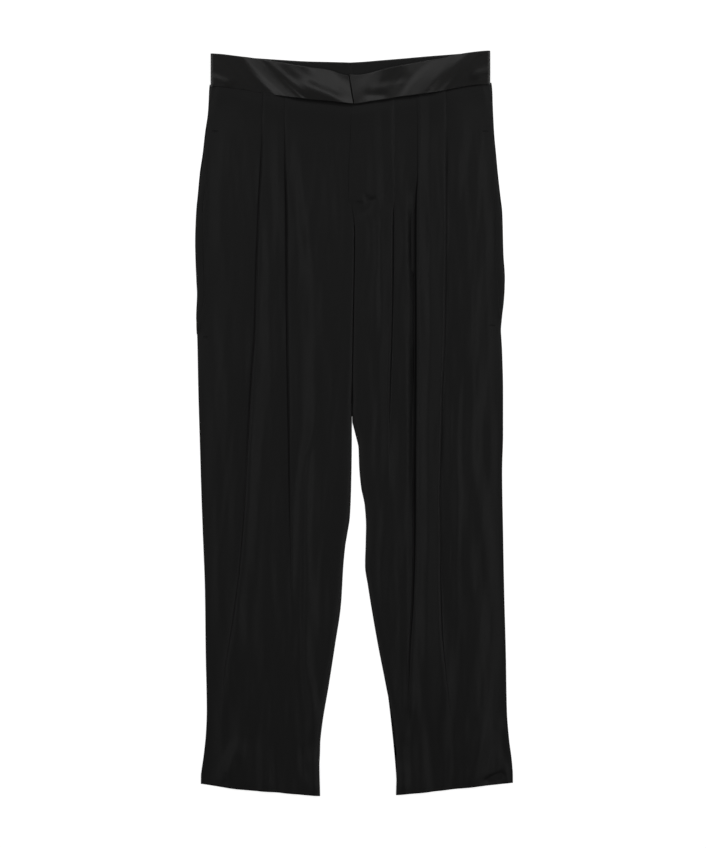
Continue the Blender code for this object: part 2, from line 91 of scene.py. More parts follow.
# Matt white paint with some light of its own, so that it stays white up to the picture's edges.
floor_paint, _, _ = new_material(
    "pale_lit_floor",
    base_color=linear("#f8f8f8"),
    roughness=0.9,
    emission_color=linear("#ffffff"),
    emission_strength=0.75,
)
corners = [(x * FLOOR_REACH, y * FLOOR_REACH, 0) for x, y in ((-1, -1), (1, -1), (1, 1), (-1, 1))]
floor_mesh = bpy.data.meshes.new("floor")
floor_mesh.from_pydata(corners, [], [(0, 1, 2, 3)])
floor = new_object("floor", floor_mesh, floor_paint)
floor.location.z = -FLOOR_GAP * MM

HIGHEST_AIM = 0.45  # metres from the middle towards the head: no light aims beyond it
Light = namedtuple("Light", "name place size power")  # in metres and watts
for light in (
    Light("softbox_left", (-1.32, 0.45, 2.1), (3.6, 0.6), 11.9),
    Light("softbox_right", (1.32, 0.3, 2.1), (3.6, 0.6), 14.2),
    Light("softbox_head", (0.0, 1.76, 2.1), (2.6, 0.6), 5.6),
    Light("rim_left", (-2.2, 0.0, 0.6), (2.0, 0.5), 3),
    Light("rim_right", (2.2, 0.0, 0.6), (2.0, 0.5), 4),
):
    data = bpy.data.lights.new(light.name, "AREA")
    data.shape = "RECTANGLE"
    data.size, data.size_y = light.size
    data.energy = light.power
    lamp = new_object(light.name, data)
    lamp.location = light.place
    aim = Vector((0, min(light.place[1], HIGHEST_AIM), 0))
    lamp.rotation_euler = (aim - lamp.location).to_track_quat("-Z", "Y").to_euler()

world = bpy.data.worlds.new("soft_room")
world.use_nodes = True
room = world.node_tree.nodes["Background"]
room.inputs["Color"].default_value = linear("#ffffff")
room.inputs["Strength"].default_value = 0.05
bpy.context.scene.world = world
bpy.context.scene.view_settings.view_transform = "Standard"

LENS, SENSOR = 85.0, 36.0
PIXEL = 1.36  # mm of the garment for one pixel of the photograph
FRAME_HEIGHT = 848  # pixels: the picture's longer side, which the sensor's width covers
CAMERA_X = -1.4  # mm: the picture's middle is a little left of the garment's
SCALE_LEVEL = 4.0  # mm above the floor, where a pixel is PIXEL wide
camera_data = bpy.data.cameras.new("camera")
camera_data.lens = LENS
camera_data.sensor_width = SENSOR
camera_data.clip_end = 20
camera = new_object("camera", camera_data)
camera.location = (CAMERA_X * MM, 0.0, (FRAME_HEIGHT * PIXEL * LENS / SENSOR + SCALE_LEVEL) * MM)
bpy.context.scene.camera = camera

# Crepe of the legs. Matt black twisted yarn: light only catches the turns of
# its folds, and the weave shows as a fine uneven grain.
GRAINS = 1400  # in a metre: 0.7 mm each, drawn coarser than the real 0.3 mm so that they show
PATCHES = 9  # in a metre: places of about 11 cm that are a little paler or darker
COLOUR_A, COLOUR_B, MIXED_COLOUR = 6, 7, 2  # sockets of a colour mix
crepe, tree, shader = new_material(
    "black_crepe_woven",
    base_color=linear("#0d0d0d"),
    roughness=0.55,
    specular_ior_level=0.3,
    sheen_weight=0.02,
    sheen_roughness=0.4,
    sheen_tint=linear("#9a9a9a"),
)
place = add_node(tree, "ShaderNodeTexCoord")
grain = add_node(tree, "ShaderNodeTexNoise", {"Scale": GRAINS, "Detail": 3}, [("Vector", place, "Object")])
cloud = add_node(tree, "ShaderNodeTexNoise", {"Scale": PATCHES, "Detail": 3}, [("Vector", place, "Object")])
tone = add_node(tree, "ShaderNodeMix", {"data_type": "RGBA"}, [("Factor", cloud, "Fac")])
tone.inputs[COLOUR_A].default_value = linear("#0a0a0a")
tone.inputs[COLOUR_B].default_value = linear("#0e0e0e")
tree.links.new(tone.outputs[MIXED_COLOUR], shader.inputs["Base Color"])
bump = add_node(tree, "ShaderNodeBump", {"Strength": 0.11, "Distance": 0.2 * MM}, [("Height", grain, "Fac")])
tree.links.new(bump.outputs["Normal"], shader.inputs["Normal"])

# Fronts, one for each leg. Each is one sheet of crepe, folded into its pleats at
# the waist, with the soft folds that run down from them and its edges turned.
Place = namedtuple("Place", "down out")
Across = namedtuple("Across", "out down")
Pleat = namedtuple("Pleat", "down out depth knife rise dip")  # knife is 1 where it is shut, 0 where open
Inward = namedtuple("Inward", Pleat._fields)  # a pleat that faces the centre front
Ridge = namedtuple("Ridge", "down out rise width")
Crease = namedtuple("Crease", "down out to_down to_out rise width")
# A leg's mouth is how far its pocket's mouth gapes, in from the side seam.
Leg = namedtuple("Leg", "name sign side inseam waist back_waist hem mouth folds creases")

CENTRE_FRONT = [
    Place(70, -0.6), Place(110, -2.2), Place(150, -4.5), Place(195, -4.3), Place(214, -0.8), Place(238, 0.8),
    Place(360, -0.9), Place(490, -2.7),
]
CENTRE_BACK = [Place(10, -4.8), Place(60, -4.8), Place(300, -1.2), Place(490, -2.7)]
right_leg = Leg(
    "right",
    -1,
    side=[
        Place(46, 195), Place(60, 197), Place(92, 199), Place(120, 203), Place(147, 206), Place(174, 210),
        Place(201, 212.5), Place(228, 215), Place(269, 216.4), Place(310, 215), Place(337, 213.8),
        Place(371, 215), Place(399, 213.5), Place(473, 212), Place(541, 210), Place(609, 208),
        Place(664, 206), Place(745, 203), Place(827, 202), Place(908, 200.5), Place(936, 201.5),
        Place(963, 204), Place(996, 208.5),
    ],
    inseam=[
        Place(528, 2.95), Place(582, 3.8), Place(623, 5.5), Place(650, 9.5), Place(664, 11.8),
        Place(691, 14.4), Place(745, 17.7), Place(800, 25.7), Place(854, 34), Place(908, 43),
        Place(936, 46), Place(963, 47), Place(1013, 46),
    ],
    waist=[
        Across(-10, 72.5), Across(6, 71.4), Across(19, 70.2), Across(29, 68.7), Across(60, 66),
        Across(80, 63.4), Across(101, 60.5), Across(121, 57), Across(142, 53), Across(162, 50.3),
        Across(180, 48), Across(196, 47),
    ],
    back_waist=[
        Across(-8, 59.2), Across(29, 58.2), Across(60, 57.5), Across(101, 55.2), Across(142, 52.3),
        Across(180, 49.2), Across(196, 46.4),
    ],
    hem=[Across(40, 1013), Across(68, 1011), Across(101, 1008), Across(155, 1003.5), Across(209, 996)],
    mouth=[
        Place(66, 0), Place(110, 1), Place(180, 11), Place(220, 9), Place(270, 11.5), Place(350, 10),
        Place(392, 0),
    ],
    folds=[
        [
            Ridge(60, 34, 0.0, 4), Ridge(400, 38, 0.0, 4), Ridge(500, 48, 0.0, 5), Ridge(550, 60, 1.6, 9),
            Ridge(610, 66, 3.0, 12), Ridge(738, 67, 3.2, 13), Ridge(820, 66, 2.8, 12),
            Ridge(868, 60, 2.2, 11), Ridge(905, 54, 1.2, 9), Ridge(940, 54, 0.0, 8),
            Ridge(1013, 60, 0.0, 8),
        ],
        [
            Pleat(60, 94, 14, 1, 2.6, 0.1), Pleat(150, 93.6, 11, 1, 4.2, 0.2),
            Pleat(215, 92.2, 11, 1, 5.0, 0.2), Pleat(270, 91.8, 19, 1, 5.0, 0.2),
            Pleat(320, 91.4, 24, 1, 5.0, 0.2), Pleat(453, 89.6, 23, 1, 4.8, 0.2),
            Pleat(534, 88, 20, 0.85, 4.4, 0.2), Pleat(616, 86.5, 12, 0.35, 3.4, 0.1),
            Pleat(698, 85, 6, 0, 1.8, 0), Pleat(780, 86, 4, 0, 0, 0), Pleat(1013, 92, 4, 0, 0, 0),
        ],
        [
            Pleat(60, 123, 13, 1, 2.2, 0.1), Pleat(120, 124.5, 12, 1, 3.6, 0.2),
            Pleat(208, 129, 9, 1, 4.8, 0.4), Pleat(300, 132.5, 7, 1, 5.2, 0.5),
            Pleat(371, 134, 6, 0.9, 5.4, 0.6), Pleat(453, 139, 5, 0.6, 5.4, 0.6),
            Pleat(534, 143, 5, 0.3, 5.2, 0.6), Pleat(616, 147, 5, 0.1, 4.6, 0.6),
            Pleat(698, 153, 5, 0, 4.0, 0.4), Pleat(780, 163, 5, 0, 3.0, 0.3),
            Pleat(860, 175, 5, 0, 1.8, 0.1), Pleat(925, 180, 5, 0, 0, 0), Pleat(1013, 180, 5, 0, 0, 0),
        ],
    ],
    creases=[
        Crease(110, 176, 330, 190, 1.6, 12), Crease(300, 172, 560, 178, 1.2, 12),
        Crease(560, 120, 860, 112, 1.4, 14), Crease(120, 60, 320, 52, -1.2, 14),
        Crease(380, 30, 640, 40, -1.3, 12), Crease(640, 48, 800, 60, 0.7, 8),
        Crease(230, 120, 420, 112, -0.9, 8), Crease(940, 158, 1000, 181, 3.0, 9),
        Crease(960, 166, 1004, 160, 0.8, 8), Crease(944, 147, 1012, 146, 1.1, 12),
        Crease(940, 122, 1008, 120, 0.8, 11), Crease(950, 56, 1016, 53, 2.2, 7),
        Crease(945, 70, 990, 68, -1.6, 5), Crease(980, 176, 998, 176, -1.0, 5),
    ],
)
left_leg = Leg(
    "left",
    1,
    side=[
        Place(44, 185), Place(60, 188), Place(92, 189.5), Place(120, 191), Place(147, 193.5), Place(174, 196),
        Place(201, 199), Place(228, 202), Place(283, 203.5), Place(317, 205.5), Place(337, 204.5),
        Place(364, 201.5), Place(385, 200), Place(419, 201.7), Place(473, 203), Place(528, 203),
        Place(582, 201.7), Place(664, 203), Place(745, 204.5), Place(827, 206.7), Place(908, 208.2),
        Place(949, 211.3), Place(976, 214.8), Place(995, 216.3),
    ],
    inseam=[
        Place(501, -0.2), Place(514, 3.0), Place(528, 6), Place(555, 7), Place(582, 9.5), Place(609, 14.6),
        Place(637, 16.3), Place(664, 15.8), Place(691, 15), Place(718, 18.8), Place(745, 23),
        Place(800, 32.5), Place(854, 43), Place(908, 53), Place(936, 56.6), Place(963, 58), Place(1012, 57),
    ],
    waist=[
        Across(-10, 72.5), Across(4, 71.5), Across(22, 68.5), Across(49, 64.7), Across(63, 62.3),
        Across(83, 59.8), Across(103, 56.7), Across(124, 53), Across(144, 48.8), Across(165, 45.8),
        Across(188, 44),
    ],
    back_waist=[
        Across(-8, 59), Across(11, 58), Across(35, 56), Across(63, 53.7), Across(103, 50.2), Across(144, 47),
        Across(165, 44.9), Across(188, 43.5),
    ],
    hem=[Across(50, 1012), Across(98, 1007.5), Across(131, 1003.5), Across(163, 1000), Across(218, 994.5)],
    mouth=[
        Place(66, 0), Place(150, 1), Place(200, 8), Place(230, 10.5), Place(300, 11), Place(340, 8),
        Place(376, 0),
    ],
    folds=[
        [
            Ridge(60, 26, 0.6, 16), Ridge(110, 25, 1.8, 17), Ridge(190, 25, 1.6, 16),
            Ridge(222, 29, 1.9, 8), Ridge(260, 31, 2.0, 8), Ridge(330, 30, 1.2, 9), Ridge(420, 28, 0.4, 9),
            Ridge(500, 28, 0.0, 9), Ridge(1013, 66, 0.0, 6),
        ],
        [
            Pleat(60, 52, 3, 0, 0.3, 0), Pleat(140, 53, 3, 0, 1.0, 0), Pleat(195, 53, 3, 0, 1.4, 0.3),
            Pleat(214, 52, 3, 0, 3.0, 1.2), Pleat(283, 51.5, 3, 0, 3.8, 1.5), Pleat(371, 50, 3, 0, 3.6, 1.3),
            Pleat(453, 47.5, 3, 0, 2.8, 1.0), Pleat(520, 46, 3, 0, 1.2, 0.3), Pleat(600, 48, 3, 0, 0, 0),
            Pleat(1013, 76, 3, 0, 0, 0),
        ],
        [
            Inward(60, 87.5, 3, 0, 1.0, 0), Inward(110, 88, 3, 0, 1.8, 0), Inward(165, 88, 3, 0, 2.2, 0.3),
            Inward(192, 86.2, 3, 0, 3.6, 2.2), Inward(240, 85.4, 3, 0, 4.8, 4.2),
            Inward(405, 85.8, 3, 0, 5.2, 4.6), Inward(575, 85, 3, 0, 4.8, 4.4),
            Inward(657, 84.5, 3, 0, 4.4, 3.8), Inward(738, 82, 3, 0, 3.5, 2.8),
            Inward(813, 77, 3, 0, 2.6, 1.2), Inward(880, 75, 3, 0, 1.0, 0.2), Inward(930, 78, 3, 0, 0, 0),
            Inward(1013, 90, 3, 0, 0, 0),
        ],
        [
            Pleat(60, 124, 13, 1, 2.4, 0.2), Pleat(135, 125.5, 12, 1, 3.8, 0.6),
            Pleat(240, 125.5, 9, 1, 4.8, 1.4), Pleat(300, 125, 8, 1, 4.8, 1.4),
            Pleat(371, 124, 6.5, 1, 4.6, 1.4), Pleat(453, 120.5, 5, 0.9, 4.6, 1.4),
            Pleat(534, 118, 4, 0.6, 4.6, 1.5), Pleat(616, 116, 3, 0.35, 4.4, 1.6),
            Pleat(698, 116.5, 3, 0.2, 4.0, 1.2), Pleat(780, 118, 3, 0, 3.2, 0.8),
            Pleat(870, 126, 3, 0, 1.8, 0.1), Pleat(920, 132, 3, 0, 0, 0), Pleat(1013, 138, 3, 0, 0, 0),
        ],
        [
            Ridge(60, 150, 0.0, 8), Ridge(420, 146, 0.0, 7), Ridge(480, 143, 1.6, 8), Ridge(640, 141, 2.2, 8),
            Ridge(720, 141, 1.6, 8), Ridge(790, 144, 0.0, 8), Ridge(1013, 160, 0.0, 8),
        ],
    ],
    creases=[
        Crease(120, 165, 300, 172, 1.2, 11), Crease(300, 160, 520, 168, 1.2, 12),
        Crease(560, 172, 860, 182, 1.9, 14), Crease(740, 120, 960, 126, 1.6, 15),
        Crease(760, 160, 1000, 170, 1.8, 18), Crease(700, 52, 900, 66, -1.2, 12),
        Crease(198, 13, 203, 28, -2.4, 4), Crease(206, 26, 226, 4, -1.6, 5),
        Crease(228, 33, 246, 34, 0.8, 3), Crease(780, 112, 930, 118, 1.4, 13),
        Crease(560, 30, 700, 34, 0.8, 10), Crease(860, 80, 905, 76, 0.9, 8),
        Crease(902, 74, 940, 69, 1.1, 8), Crease(968, 68, 1008, 69, 1.5, 7),
        Crease(905, 196, 940, 190, 0.8, 6), Crease(910, 177, 1008, 162, 3.1, 9.5),
        Crease(920, 160, 1008, 156, 1.2, 12), Crease(940, 132, 995, 130, 1.0, 11),
        Crease(994, 176, 984, 204, -3.0, 5), Crease(970, 206, 1000, 210, 1.2, 5),
        Crease(925, 200, 962, 203, -1.0, 6),
    ],
)

TOP_OF_BED = {"waist": 4.2, "hip": 5.1, "leg": 3.7, "seam": 1.1, "pocket": 3.4}  # heights without folds
WAIST_RISE = 16.0  # below the waist, over which the cloth rises to the hip's height
HIP_TO_LEG = 399, 504  # down, over which it sinks to the leg's height
EDGE_ROLL = 9.0  # over which it rolls down to the side seam
SIDE_SLOPE = 2.6  # how much lower it lies near the side
FRONT_SEAM_DIP, LOWER_SEAM_DIP = 1.3, 0.4  # into the centre seam below the fly, and more further down
CROTCH = 500.0  # down, where the legs part
MOUTH_OPENS = 0.5, 5  # gaps of a pocket's mouth where its edge starts to stand open, and stands open
LAP_OVER, LAP_UNDER = 3.0, 1.0  # how far the left front laps over at the fly, and the right one under
FLY_BOTTOM = 206.0
FLY_WIDTH, FLY_CURVE = 52.0, 42.0  # of the stitched facing, and the height of the curve at its bottom
FLY_RISE = 1.2  # how much higher the left front lies over the fly's folded facing


def ease(value, start, end):
    """A share that rises smoothly from 0 at the start to 1 at the end."""
    share = np.clip((value - start) / (end - start), 0, 1)
    return share * share * (3 - 2 * share)


def follow(rows, at, column=1):
    """The value in a column, on a smooth curve through the table's rows, without overshoot."""
    places = np.array([row[0] for row in rows], float)
    values = np.array([row[column] for row in rows], float)
    steps = np.diff(places)
    slopes = np.diff(values) / steps
    before, after = slopes[:-1], slopes[1:]
    same = before * after > 0
    middle = np.where(same, 2 * before * after / np.where(same, before + after, 1), 0)
    tangents = np.concatenate([slopes[:1], middle, slopes[-1:]])
    at = np.clip(at, places[0], places[-1])
    k = np.clip(np.searchsorted(places, at, side="right") - 1, 0, len(steps) - 1)
    t = (at - places[k]) / steps[k]
    start, end, rise = tangents[k] * steps[k], tangents[k + 1] * steps[k], values[k + 1] - values[k]
    return values[k] + t * (start + t * (3 * rise - 2 * start - end + t * (start + end - 2 * rise)))


def rolled(distance, width):
    """A share that rises from 0 at an edge to 1 at a width from it, round as a rolled edge."""
    share = np.clip(distance / width, 0, 1)
    return np.sqrt(1 - (1 - share) ** 2)


def inner_edge(leg, centre, down):
    """Where a leg's inner edge lies: along the centre seam while the legs touch, then along its inseam."""
    seam = [Place(row.down, leg.sign * row.out + 0.15) for row in centre]
    return follow(seam + leg.inseam, down)


def lap(leg, down):
    """How far a front's edge passes the centre at the fly."""
    passed = LAP_OVER if leg.sign > 0 else LAP_UNDER
    return passed * (1 - ease(down, FLY_BOTTOM - 6, FLY_BOTTOM + 8))


def fly_edge(down):
    """Out of the fly's stitched edge, which runs down and curves in to the centre front."""
    below = np.clip((down - FLY_BOTTOM + FLY_CURVE) / FLY_CURVE, 0, 1)
    return FLY_WIDTH * np.sqrt(np.clip(1 - below**2, 0, 1))


def fly_rise(out, down):
    """How much the fly's facing lifts the left front, most near its stitched edge."""
    edge = fly_edge(down)
    over_facing = 1 - ease(out, edge - 5, edge + 4)
    towards_edge = 0.55 + 0.45 * ease(out, 0, np.maximum(edge, 0.1))
    return FLY_RISE * over_facing * towards_edge * (1 - ease(down, FLY_BOTTOM - 4, FLY_BOTTOM + 1))


def bed(leg, out, down):
    """Height of a front without its folds."""
    level = TOP_OF_BED
    below_waist = down - follow(leg.waist, out)
    middle = level["waist"] + (level["hip"] - level["waist"]) * ease(below_waist, 0, WAIST_RISE)
    middle = middle + (level["leg"] - level["hip"]) * ease(down, *HIP_TO_LEG)
    if leg.sign > 0:
        middle = middle + ease(below_waist, 0, WAIST_RISE) * fly_rise(out, down)
    middle = middle - SIDE_SLOPE * ease(out - follow(leg.side, down), -52, -4) * ease(below_waist, 0, 30)

    seam_dip = FRONT_SEAM_DIP * ease(down, FLY_BOTTOM, FLY_BOTTOM + 20)
    seam_dip = seam_dip + LOWER_SEAM_DIP * ease(down, 300, 420)
    at_inner = np.where(down < CROTCH - 20, middle - seam_dip, middle)
    at_inner = at_inner + (level["seam"] - middle) * ease(down, CROTCH - 60, CROTCH)
    inner_roll = 3 + 6 * ease(down, 300, CROTCH)
    from_inner = rolled(out - inner_edge(leg, CENTRE_FRONT, down) + lap(leg, down), inner_roll)

    mouth = follow(leg.mouth, down)
    at_side = level["seam"] + (level["pocket"] - level["seam"]) * ease(mouth, *MOUTH_OPENS)
    from_side = rolled(follow(leg.side, down) - mouth - out, EDGE_ROLL)
    return middle - (middle - at_side) * (1 - from_side) - (middle - at_inner) * (1 - from_inner)


PLEAT_RAMP = 17.0  # over which the cloth rises to a pleat's crest


def pleat_points(rows, down):
    """(out, height above the bed) along the cloth of a pleat, from the centre front towards the side.

    Beyond its crest the cloth folds back under itself where the pleat is shut, and dips where it is open.
    """
    out, depth, knife, rise, dip = (follow(rows, down, column) for column in (1, 2, 3, 4, 5))
    crown = rise * (0.3 + 0.7 * ease(down, 70, 180))
    top = [(-depth - PLEAT_RAMP, 0), (-depth - 0.55 * PLEAT_RAMP, 0.42), (-depth - 1.5, 0.9), (-4.2, 1.0)]
    shut = [(step, crown * share) for step, share in top] + [
        (-2.2, 0.97 * crown), (-0.6, 0.62 * crown), (1.0, 0.22 * crown + 0.3), (1.6, 0.3), (-0.2, 0.25),
        (1 - depth, 0.2), (-depth - 0.6, 0.1), (1 - depth, -0.1), (0.5, -0.3 - 0.4 * dip), (3.2, -dip),
        (6.0, -0.6 * dip), (10.0, 0),
    ]
    opened = [(step, rise * share) for step, share in top] + [
        (step, rise * share - dip * sunk)
        for step, share, sunk in (
            (-0.6, 1, 0), (0.4, 0.93, 0), (1.1, 0.75, 0), (1.6, 0.5, 0.05), (2.0, 0.26, 0.3), (2.4, 0.1, 0.7),
            (3.0, 0.02, 1), (4.6, 0, 1), (7.0, 0, 0.75), (9.5, 0, 0.42), (12.5, 0, 0.14), (16.0, 0, 0),
        )
    ]
    return [
        (out + knife * a + (1 - knife) * b, knife * p + (1 - knife) * q)
        for (a, p), (b, q) in zip(shut, opened)
    ]


def ridge_points(rows, down):
    """(out, height above the bed) across a low round ridge."""
    out, rise, width = (follow(rows, down, column) for column in (1, 2, 3))
    return [(out + share * width, rise * (1 + np.cos(np.pi * share)) / 2) for share in (-1, -0.5, 0, 0.5, 1)]


def fold_points(rows, down):
    """The points across a fold at one place down the leg."""
    if isinstance(rows[0], Ridge):
        return ridge_points(rows, down)
    points = pleat_points(rows, down)
    if isinstance(rows[0], Inward):
        crest = follow(rows, down)
        return [(2 * crest - out, fold) for out, fold in points[::-1]]
    return points


def drawn_to(points, crest, share, side):
    """A fold's points, with those on one side of its crest drawn in towards it."""
    return [
        (crest + (out - crest) * share if (out - crest) * side > 0 else out, fold)
        for out, fold in points
    ]


FOLDS_APART = 2.5  # room between two crests that neither fold takes
EDGE_STEPS = (0, 0), (1, 0.1), (4, 0.3), (10, 0.7)  # in from an edge, at most this share of the room there


def across(leg, down):
    """(out, height above the bed) of the points that a front's section follows."""
    crests = [follow(rows, down) for rows in leg.folds]
    folds = [fold_points(rows, down) for rows in leg.folds]
    for k in range(len(folds) - 1):
        room = crests[k + 1] - crests[k] - FOLDS_APART
        wanted = folds[k][-1][0] - crests[k] + crests[k + 1] - folds[k + 1][0][0]
        share = min(1, room / wanted)
        folds[k] = drawn_to(folds[k], crests[k], share, 1)
        folds[k + 1] = drawn_to(folds[k + 1], crests[k + 1], share, -1)
    points = [point for fold in folds for point in fold]
    inner = inner_edge(leg, CENTRE_FRONT, down) - lap(leg, down)
    side = follow(leg.side, down) - follow(leg.mouth, down)
    room_in, room_out = points[0][0] - inner, side - points[-1][0]
    at_inner = [(inner + min(step, room_in * share), 0) for step, share in EDGE_STEPS]
    at_side = [(side - min(step, room_out * share), 0) for step, share in EDGE_STEPS]
    return np.array(at_inner + points + at_side[::-1])


def smooth_sections(sections, spacing, most):
    """Each section's points as a smooth curve, with the same count in each, spaced about evenly."""
    lengths = np.linalg.norm(np.diff(sections, axis=1), axis=2).mean(axis=0)
    spacing = max(spacing, lengths.sum() / most)
    counts = np.maximum(2, np.round(lengths / spacing).astype(int))
    ends = [2 * sections[:, :1] - sections[:, 1:2], sections, 2 * sections[:, -1:] - sections[:, -2:-1]]
    padded = np.concatenate(ends, axis=1)
    pieces = []
    for k, count in enumerate(counts):
        last = k == len(counts) - 1
        t = np.linspace(0, 1, count + last, endpoint=bool(last))[None, :, None]
        before, start, end, after = (padded[:, k + i : k + i + 1] for i in range(4))
        pieces.append(
            (
                before * (1 - t) ** 3
                + start * (3 * t**3 - 6 * t**2 + 4)
                + end * (-3 * t**3 + 3 * t**2 + 3 * t + 1)
                + after * t**3
            )
            / 6
        )
    return np.concatenate(pieces, axis=1)


def crease_height(creases, out, down):
    """Height of the soft creases, each from one place to another with its ends eased out."""
    total = np.zeros_like(out)
    for crease in creases:
        run = np.array([crease.to_down - crease.down, crease.to_out - crease.out], float)
        length = np.hypot(*run)
        along = ((down - crease.down) * run[0] + (out - crease.out) * run[1]) / length**2
        away = ((down - crease.down) * run[1] - (out - crease.out) * run[0]) / length
        ends = ease(along, -0.15, 0.3) * (1 - ease(along, 0.7, 1.15))
        total += crease.rise * np.exp(-((away / crease.width) ** 2)) * ends
    return total


WAVES = 7  # that add up to the cloth's drift


def drift(out, down, seed, rise, wide, long):
    """Slow uneven waves of the cloth, longer down the leg than across it."""
    rng = np.random.default_rng(seed)
    total = np.zeros_like(out)
    for _ in range(WAVES):
        lean, phase = rng.uniform(-0.12, 0.12), rng.uniform(0, 2 * np.pi, 2)
        step = wide * rng.uniform(0.7, 1.8)
        stride = long * rng.uniform(0.7, 1.6)
        across_it = np.sin(2 * np.pi * (out + lean * down) / step + phase[0])
        along_it = np.sin(2 * np.pi * down / stride + phase[1])
        total += across_it * along_it
    return rise * total / np.sqrt(WAVES)


def grid_mesh(name, points, flip=False):
    """A mesh through rows of points, with UVs that measure the cloth in metres."""
    rows, count = points.shape[:2]
    index = np.arange(rows * count).reshape(rows, count)
    quads = np.stack([index[:-1, :-1], index[:-1, 1:], index[1:, 1:], index[1:, :-1]], axis=-1).reshape(-1, 4)
    if flip:
        quads = quads[:, ::-1]
    mesh = bpy.data.meshes.new(name)
    mesh.from_pydata(points.reshape(-1, 3), [], quads)
    steps_u = np.linalg.norm(np.diff(points, axis=1), axis=2)
    steps_v = np.linalg.norm(np.diff(points, axis=0), axis=2)
    u = np.concatenate([np.zeros((rows, 1)), np.cumsum(steps_u, axis=1)], axis=1)
    v = np.concatenate([np.zeros((1, count)), np.cumsum(steps_v, axis=0)], axis=0)
    uv = np.stack([u, v], axis=-1).reshape(-1, 2)
    layer = mesh.uv_layers.new(name="cloth")
    layer.data.foreach_set("uv", uv[quads.reshape(-1)].ravel())
    mesh.shade_smooth()
    return mesh


MIDDLE = 506.59  # down of the garment's middle


def to_frame(leg, out, down, height):
    """Places in the scene, in metres, for a leg's out, down and height."""
    return np.stack([leg.sign * out * MM, (MIDDLE - down) * MM, height * MM], axis=-1)


HEM_DEPTH = 28.0  # the turned-up hem
FOLD_GAP = 0.9  # between a turned edge's two layers
HEM_TURN = [  # down from the hem's edge, and how far across the gap, as a share
    (0.35, 0.12), (0.5, 0.5), (0.35, 0.88), (0.0, 1.0), (-4.0, 1.0), (-HEM_DEPTH / 2, 1.0), (-HEM_DEPTH, 0.9),
]


def with_turned_hem(out, down, height):
    """The sheet's rows, and those of its hem turned under."""
    outs, downs, heights = [out], [down], [height]
    columns = np.arange(out.shape[1])
    for beyond, share in HEM_TURN:
        row = np.abs(down - (down[-1:] + min(beyond, 0))).argmin(axis=0)
        outs.append(out[row, columns][None])
        downs.append((down[-1] + beyond)[None])
        heights.append((height[row, columns] - FOLD_GAP * share)[None])
    return np.concatenate(outs), np.concatenate(downs), np.concatenate(heights)


def with_turned_edge(out, down, height, openness, width, side):
    """The sheet's columns, and those of an edge that is turned under where openness is 1."""
    edge = -1 if side > 0 else 0
    turn = [(0.3, 0.3), (0.0, 1.0), (-width / 2, 1.0), (-width, 0.9)]
    columns = []
    for k, (beyond, share) in enumerate(turn, 1):
        turned_out = out[:, edge] + side * (beyond * openness - 0.02 * k)
        columns.append((turned_out, down[:, edge], height[:, edge] - FOLD_GAP * share * openness))
    joined = []
    for axis, grid in enumerate((out, down, height)):
        more = np.stack([column[axis] for column in columns], axis=1)
        joined.append(np.concatenate([grid, more] if side > 0 else [more[:, ::-1], grid], axis=1))
    return joined


ROWS = 404  # so that each front stays under 200,000 triangles
COLUMNS = 222
MID_FRONT = 110.0  # out, where the places of a front's rows are read
UNDER_BAND = 2.0  # how far the fronts and backs reach up under the waistband
WAIST_LIFT, WAIST_LIFT_DEPTH = 2.2, 48.0  # the cloth stands higher where the band's seam holds it up


def front_sheet(leg):
    """(out, down, height) of a front as it lies, from the waist to the hem."""
    shares = np.linspace(0, 1, ROWS)
    top = follow(leg.waist, MID_FRONT) - UNDER_BAND
    reference = (1 - shares) * top + shares * follow(leg.hem, MID_FRONT)
    sections = np.array([across(leg, down) for down in reference])
    fine = smooth_sections(sections, 1.0, COLUMNS)
    out, fold = fine[..., 0], fine[..., 1]
    top = follow(leg.waist, out) - UNDER_BAND
    down = top + (follow(leg.hem, out) - top) * shares[:, None]
    height = bed(leg, out, down) + fold
    from_side = follow(leg.side, down) - out
    inside = ease(out - inner_edge(leg, CENTRE_FRONT, down), 0, 25) * ease(from_side, 0, 25)
    height += crease_height(leg.creases, out, down) * ease(from_side, 0, 8)
    height += WAIST_LIFT * (1 - ease(down - top, 0, WAIST_LIFT_DEPTH)) * ease(from_side, 0, 12)
    height += drift(out, down, 11 + leg.sign, rise=0.85, wide=30, long=330) * inside * ease(down, 75, 160)
    height += drift(out, down, 31 + leg.sign, rise=0.13, wide=11, long=190) * inside * ease(down, 75, 140)
    return out, down, height


def declare(piece, node):
    """Puts a sheet on the root body and hides the CAD part that it stands in for."""
    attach(piece, "root")
    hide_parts(node)


MOUTH_HEM, LAP_HEM = 12.0, 8.0  # turned under along a pocket's mouth and at the fly
laid_fronts = {}
for leg in (right_leg, left_leg):
    node = f"front_{leg.name}"
    out, down, height = laid_fronts[leg.name] = front_sheet(leg)
    out, down, height = with_turned_hem(out, down, height)
    mouth_open = ease(follow(leg.mouth, down[:, -1]), *MOUTH_OPENS)
    out, down, height = with_turned_edge(out, down, height, mouth_open, MOUTH_HEM, 1)
    lap_open = 1 - ease(down[:, 0], FLY_BOTTOM - 10, FLY_BOTTOM + 4)
    out, down, height = with_turned_edge(out, down, height, lap_open, LAP_HEM, -1)
    mesh = grid_mesh(node, to_frame(leg, out, down, height), leg.sign > 0)
    piece = new_object(f"{node}_cloth", mesh, crepe)
    declare(piece, node)

